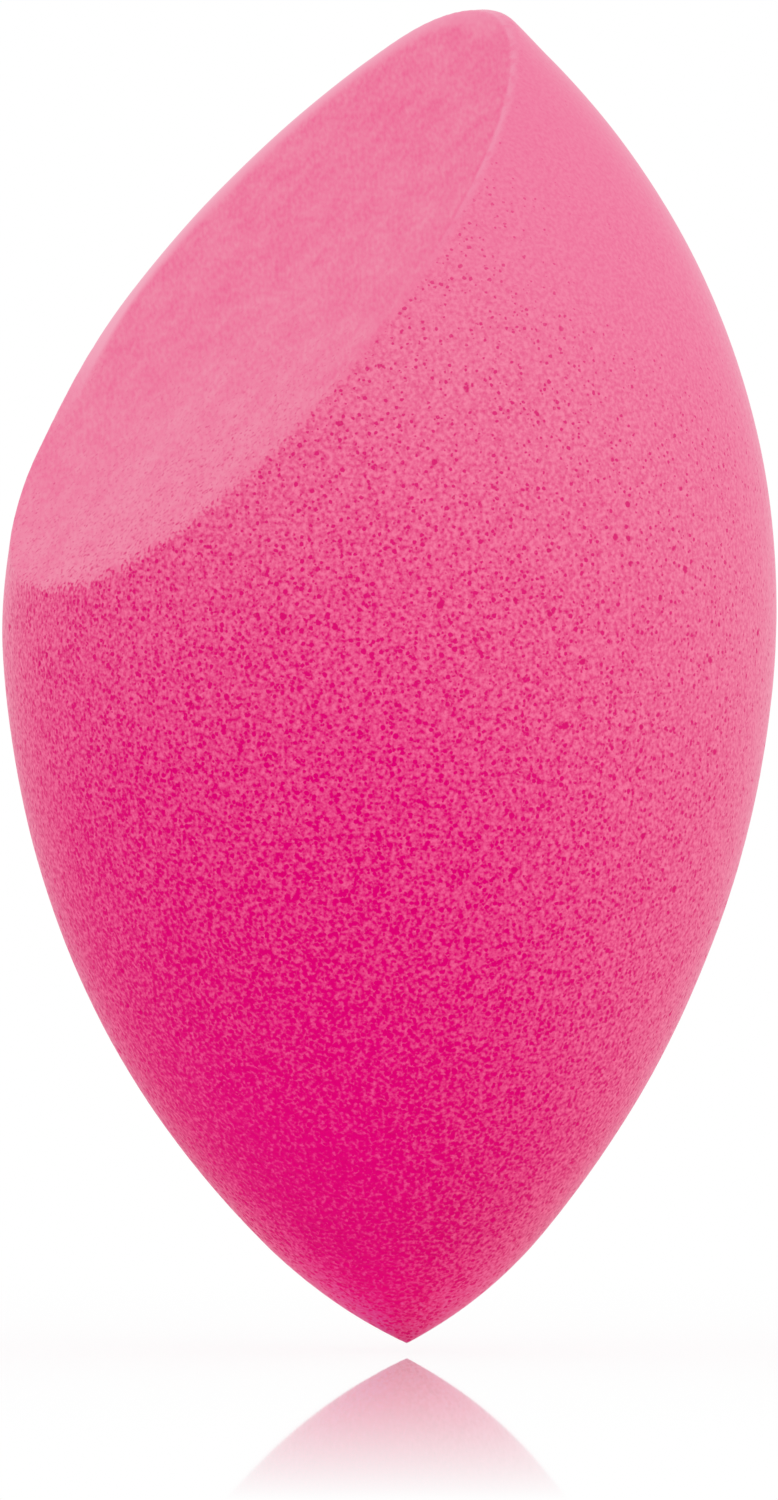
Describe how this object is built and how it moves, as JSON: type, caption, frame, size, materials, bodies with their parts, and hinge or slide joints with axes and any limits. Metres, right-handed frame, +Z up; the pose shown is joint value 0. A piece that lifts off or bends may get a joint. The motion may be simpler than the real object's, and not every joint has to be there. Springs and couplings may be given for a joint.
{
  "type": "makeup sponge",
  "caption": "Pointed egg of soft porous foam for blending makeup, sliced once at an angle so that it has a tip, rounded flanks and a flat slanted pressing face.",
  "frame": {"origin": "the lowest point of the rounded tip, on the egg's axis", "axes": "+Z up the egg's axis from the tip to the sliced end; the flat slanted face looks to -Y and up; X = 0 is the plane of symmetry"},
  "size_m": [0.038, 0.038, 0.0653],
  "materials": {
    "foam": "matt hot-pink open-cell foam, fine pores on the ground flanks, closed and paler on the sliced face"
  },
  "bodies": {
    "root": {"foam_body": "foam"}
  },
  "joints": []
}
